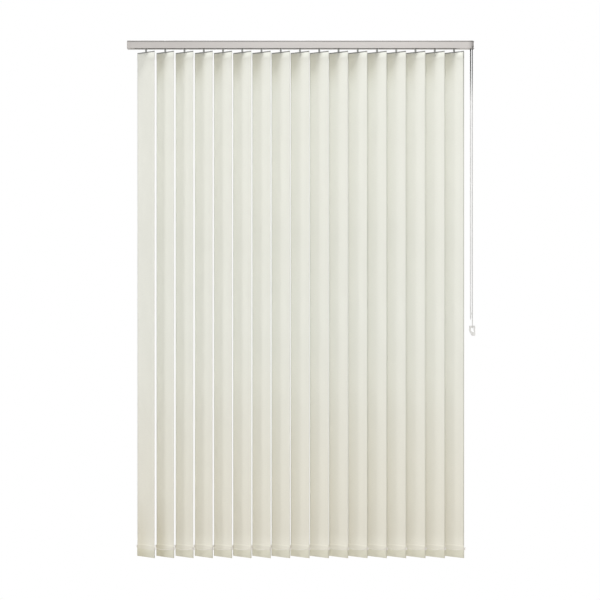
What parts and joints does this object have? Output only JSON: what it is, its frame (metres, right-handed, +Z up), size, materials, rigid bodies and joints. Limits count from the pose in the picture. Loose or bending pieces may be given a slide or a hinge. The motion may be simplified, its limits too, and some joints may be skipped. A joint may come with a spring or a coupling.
{
  "type": "vertical blind",
  "caption": "Ceiling-hung vertical blind: cloth vanes on a slotted headrail, turned by a bead chain and drawn aside by a weighted cord loop.",
  "frame": {"origin": "on the ceiling face, midway between the outer brackets' screws and over the vanes' axes", "axes": "+X along the headrail to the control end, +Y to the window behind, +Z up"},
  "size_m": [1.4457, 0.0544, 2.1448],
  "materials": {
    "headrail": "satin",
    "control_end_cap": "satin",
    "return_end_cap": "satin",
    "bracket": "zinc plated",
    "tilt_rod": "extruded",
    "chain_sprocket": "moulded",
    "tilt_chain": "moulded",
    "chain_connector": "moulded",
    "draw_cord": "braided",
    "cord_weight": "moulded",
    "pulley": "moulded",
    "link_chain": "moulded",
    "carrier": "moulded",
    "vane": "matt woven polyester"
  },
  "bodies": {
    "headrail": {"headrail": "headrail", "control_end_cap": "control_end_cap", "return_end_cap": "return_end_cap", "bracket_left": "bracket", "bracket_centre": "bracket", "bracket_right": "bracket", "tilt_chain": "tilt_chain", "chain_connector": "chain_connector", "draw_cord": "draw_cord", "draw_cord_run": "draw_cord", "cord_weight": "cord_weight", "carrier_17": "carrier"},
    "tilt_rod": {"tilt_rod": "tilt_rod", "chain_sprocket": "chain_sprocket"},
    "return_pulley": {"return_pulley": "pulley"},
    "carrier_01": {"carrier_01": "carrier"},
    "carrier_02": {"carrier_02": "carrier"},
    "carrier_03": {"carrier_03": "carrier"},
    "carrier_04": {"carrier_04": "carrier"},
    "carrier_05": {"carrier_05": "carrier"},
    "carrier_06": {"carrier_06": "carrier"},
    "carrier_07": {"carrier_07": "carrier"},
    "carrier_08": {"carrier_08": "carrier"},
    "carrier_09": {"carrier_09": "carrier"},
    "carrier_10": {"carrier_10": "carrier"},
    "carrier_11": {"carrier_11": "carrier"},
    "carrier_12": {"carrier_12": "carrier"},
    "carrier_13": {"carrier_13": "carrier"},
    "carrier_14": {"carrier_14": "carrier"},
    "carrier_15": {"carrier_15": "carrier"},
    "carrier_16": {"carrier_16": "carrier"},
    "vane_01": {"vane_01": "vane"},
    "vane_02": {"vane_02": "vane"},
    "vane_03": {"vane_03": "vane"},
    "vane_04": {"vane_04": "vane"},
    "vane_05": {"vane_05": "vane"},
    "vane_06": {"vane_06": "vane"},
    "vane_07": {"vane_07": "vane"},
    "vane_08": {"vane_08": "vane"},
    "vane_09": {"vane_09": "vane"},
    "vane_10": {"vane_10": "vane"},
    "vane_11": {"vane_11": "vane"},
    "vane_12": {"vane_12": "vane"},
    "vane_13": {"vane_13": "vane"},
    "vane_14": {"vane_14": "vane"},
    "vane_15": {"vane_15": "vane"},
    "vane_16": {"vane_16": "vane"},
    "vane_17": {"vane_17": "vane"},
    "front_link_chain": {"front_link_chain": "link_chain"},
    "rear_link_chain": {"rear_link_chain": "link_chain"}
  },
  "joints": [
    {"name": "vane_tilt", "type": "hinge", "parent": "headrail", "child": "vane_17", "pos_m": [0.63725, 0, 0], "axis": [0, 0, -1], "range_deg": [-15, 135]},
    {"name": "vane_01_tilt", "type": "hinge", "parent": "carrier_01", "child": "vane_01", "pos_m": [-0.64275, 0, 0], "axis": [0, 0, -1], "range_deg": [-15, 135]},
    {"name": "vane_02_tilt", "type": "hinge", "parent": "carrier_02", "child": "vane_02", "pos_m": [-0.56275, 0, 0], "axis": [0, 0, -1], "range_deg": [-15, 135]},
    {"name": "vane_03_tilt", "type": "hinge", "parent": "carrier_03", "child": "vane_03", "pos_m": [-0.48275, 0, 0], "axis": [0, 0, -1], "range_deg": [-15, 135]},
    {"name": "vane_04_tilt", "type": "hinge", "parent": "carrier_04", "child": "vane_04", "pos_m": [-0.40275, 0, 0], "axis": [0, 0, -1], "range_deg": [-15, 135]},
    {"name": "vane_05_tilt", "type": "hinge", "parent": "carrier_05", "child": "vane_05", "pos_m": [-0.32275, 0, 0], "axis": [0, 0, -1], "range_deg": [-15, 135]},
    {"name": "vane_06_tilt", "type": "hinge", "parent": "carrier_06", "child": "vane_06", "pos_m": [-0.24275, 0, 0], "axis": [0, 0, -1], "range_deg": [-15, 135]},
    {"name": "vane_07_tilt", "type": "hinge", "parent": "carrier_07", "child": "vane_07", "pos_m": [-0.16275, 0, 0], "axis": [0, 0, -1], "range_deg": [-15, 135]},
    {"name": "vane_08_tilt", "type": "hinge", "parent": "carrier_08", "child": "vane_08", "pos_m": [-0.08275, 0, 0], "axis": [0, 0, -1], "range_deg": [-15, 135]},
    {"name": "vane_09_tilt", "type": "hinge", "parent": "carrier_09", "child": "vane_09", "pos_m": [-0.00275, 0, 0], "axis": [0, 0, -1], "range_deg": [-15, 135]},
    {"name": "vane_10_tilt", "type": "hinge", "parent": "carrier_10", "child": "vane_10", "pos_m": [0.07725, 0, 0], "axis": [0, 0, -1], "range_deg": [-15, 135]},
    {"name": "vane_11_tilt", "type": "hinge", "parent": "carrier_11", "child": "vane_11", "pos_m": [0.15725, 0, 0], "axis": [0, 0, -1], "range_deg": [-15, 135]},
    {"name": "vane_12_tilt", "type": "hinge", "parent": "carrier_12", "child": "vane_12", "pos_m": [0.23725, 0, 0], "axis": [0, 0, -1], "range_deg": [-15, 135]},
    {"name": "vane_13_tilt", "type": "hinge", "parent": "carrier_13", "child": "vane_13", "pos_m": [0.31725, 0, 0], "axis": [0, 0, -1], "range_deg": [-15, 135]},
    {"name": "vane_14_tilt", "type": "hinge", "parent": "carrier_14", "child": "vane_14", "pos_m": [0.39725, 0, 0], "axis": [0, 0, -1], "range_deg": [-15, 135]},
    {"name": "vane_15_tilt", "type": "hinge", "parent": "carrier_15", "child": "vane_15", "pos_m": [0.47725, 0, 0], "axis": [0, 0, -1], "range_deg": [-15, 135]},
    {"name": "vane_16_tilt", "type": "hinge", "parent": "carrier_16", "child": "vane_16", "pos_m": [0.55725, 0, 0], "axis": [0, 0, -1], "range_deg": [-15, 135]},
    {"name": "tilt_rod_spin", "type": "hinge", "parent": "headrail", "child": "tilt_rod", "pos_m": [0, 0.0078, -0.02], "axis": [1, 0, 0], "range_deg": [-150, 1350]},
    {"name": "front_link_chain_swing", "type": "hinge", "parent": "vane_17", "child": "front_link_chain", "pos_m": [0.67888, -0.02589, -2.1008], "axis": [0, 0, -1], "range_deg": [-135, 15]},
    {"name": "rear_link_chain_swing", "type": "hinge", "parent": "vane_17", "child": "rear_link_chain", "pos_m": [0.59562, 0.02589, -2.1008], "axis": [0, 0, -1], "range_deg": [-135, 15]},
    {"name": "traverse", "type": "slide", "parent": "headrail", "child": "carrier_01", "axis": [1, 0, 0], "range_m": [0, 1.008], "deforming": ["front_link_chain", "rear_link_chain"]},
    {"name": "carrier_02_slide", "type": "slide", "parent": "headrail", "child": "carrier_02", "axis": [1, 0, 0], "range_m": [0, 0.945]},
    {"name": "carrier_03_slide", "type": "slide", "parent": "headrail", "child": "carrier_03", "axis": [1, 0, 0], "range_m": [0, 0.882]},
    {"name": "carrier_04_slide", "type": "slide", "parent": "headrail", "child": "carrier_04", "axis": [1, 0, 0], "range_m": [0, 0.819]},
    {"name": "carrier_05_slide", "type": "slide", "parent": "headrail", "child": "carrier_05", "axis": [1, 0, 0], "range_m": [0, 0.756]},
    {"name": "carrier_06_slide", "type": "slide", "parent": "headrail", "child": "carrier_06", "axis": [1, 0, 0], "range_m": [0, 0.693]},
    {"name": "carrier_07_slide", "type": "slide", "parent": "headrail", "child": "carrier_07", "axis": [1, 0, 0], "range_m": [0, 0.63]},
    {"name": "carrier_08_slide", "type": "slide", "parent": "headrail", "child": "carrier_08", "axis": [1, 0, 0], "range_m": [0, 0.567]},
    {"name": "carrier_09_slide", "type": "slide", "parent": "headrail", "child": "carrier_09", "axis": [1, 0, 0], "range_m": [0, 0.504]},
    {"name": "carrier_10_slide", "type": "slide", "parent": "headrail", "child": "carrier_10", "axis": [1, 0, 0], "range_m": [0, 0.441]},
    {"name": "carrier_11_slide", "type": "slide", "parent": "headrail", "child": "carrier_11", "axis": [1, 0, 0], "range_m": [0, 0.378]},
    {"name": "carrier_12_slide", "type": "slide", "parent": "headrail", "child": "carrier_12", "axis": [1, 0, 0], "range_m": [0, 0.315]},
    {"name": "carrier_13_slide", "type": "slide", "parent": "headrail", "child": "carrier_13", "axis": [1, 0, 0], "range_m": [0, 0.252]},
    {"name": "carrier_14_slide", "type": "slide", "parent": "headrail", "child": "carrier_14", "axis": [1, 0, 0], "range_m": [0, 0.189]},
    {"name": "carrier_15_slide", "type": "slide", "parent": "headrail", "child": "carrier_15", "axis": [1, 0, 0], "range_m": [0, 0.126]},
    {"name": "carrier_16_slide", "type": "slide", "parent": "headrail", "child": "carrier_16", "axis": [1, 0, 0], "range_m": [0, 0.063]},
    {"name": "return_pulley_spin", "type": "hinge", "parent": "headrail", "child": "return_pulley", "pos_m": [-0.70675, 0, -0.0095], "axis": [0, 0, 1], "range_deg": [0, 12556]}
  ],
  "couplings": [
    {"joint": "vane_01_tilt", "follows": "vane_tilt", "ratio": 1},
    {"joint": "vane_02_tilt", "follows": "vane_tilt", "ratio": 1},
    {"joint": "vane_03_tilt", "follows": "vane_tilt", "ratio": 1},
    {"joint": "vane_04_tilt", "follows": "vane_tilt", "ratio": 1},
    {"joint": "vane_05_tilt", "follows": "vane_tilt", "ratio": 1},
    {"joint": "vane_06_tilt", "follows": "vane_tilt", "ratio": 1},
    {"joint": "vane_07_tilt", "follows": "vane_tilt", "ratio": 1},
    {"joint": "vane_08_tilt", "follows": "vane_tilt", "ratio": 1},
    {"joint": "vane_09_tilt", "follows": "vane_tilt", "ratio": 1},
    {"joint": "vane_10_tilt", "follows": "vane_tilt", "ratio": 1},
    {"joint": "vane_11_tilt", "follows": "vane_tilt", "ratio": 1},
    {"joint": "vane_12_tilt", "follows": "vane_tilt", "ratio": 1},
    {"joint": "vane_13_tilt", "follows": "vane_tilt", "ratio": 1},
    {"joint": "vane_14_tilt", "follows": "vane_tilt", "ratio": 1},
    {"joint": "vane_15_tilt", "follows": "vane_tilt", "ratio": 1},
    {"joint": "vane_16_tilt", "follows": "vane_tilt", "ratio": 1},
    {"joint": "tilt_rod_spin", "follows": "vane_tilt", "ratio": 10},
    {"joint": "front_link_chain_swing", "follows": "vane_tilt", "ratio": -1},
    {"joint": "rear_link_chain_swing", "follows": "vane_tilt", "ratio": -1},
    {"joint": "carrier_02_slide", "follows": "traverse", "ratio": 0.9375},
    {"joint": "carrier_03_slide", "follows": "traverse", "ratio": 0.875},
    {"joint": "carrier_04_slide", "follows": "traverse", "ratio": 0.8125},
    {"joint": "carrier_05_slide", "follows": "traverse", "ratio": 0.75},
    {"joint": "carrier_06_slide", "follows": "traverse", "ratio": 0.6875},
    {"joint": "carrier_07_slide", "follows": "traverse", "ratio": 0.625},
    {"joint": "carrier_08_slide", "follows": "traverse", "ratio": 0.5625},
    {"joint": "carrier_09_slide", "follows": "traverse", "ratio": 0.5},
    {"joint": "carrier_10_slide", "follows": "traverse", "ratio": 0.4375},
    {"joint": "carrier_11_slide", "follows": "traverse", "ratio": 0.375},
    {"joint": "carrier_12_slide", "follows": "traverse", "ratio": 0.3125},
    {"joint": "carrier_13_slide", "follows": "traverse", "ratio": 0.25},
    {"joint": "carrier_14_slide", "follows": "traverse", "ratio": 0.1875},
    {"joint": "carrier_15_slide", "follows": "traverse", "ratio": 0.125},
    {"joint": "carrier_16_slide", "follows": "traverse", "ratio": 0.0625},
    {"joint": "return_pulley_spin", "follows": "traverse", "rad_per_m": 217.39}
  ]
}
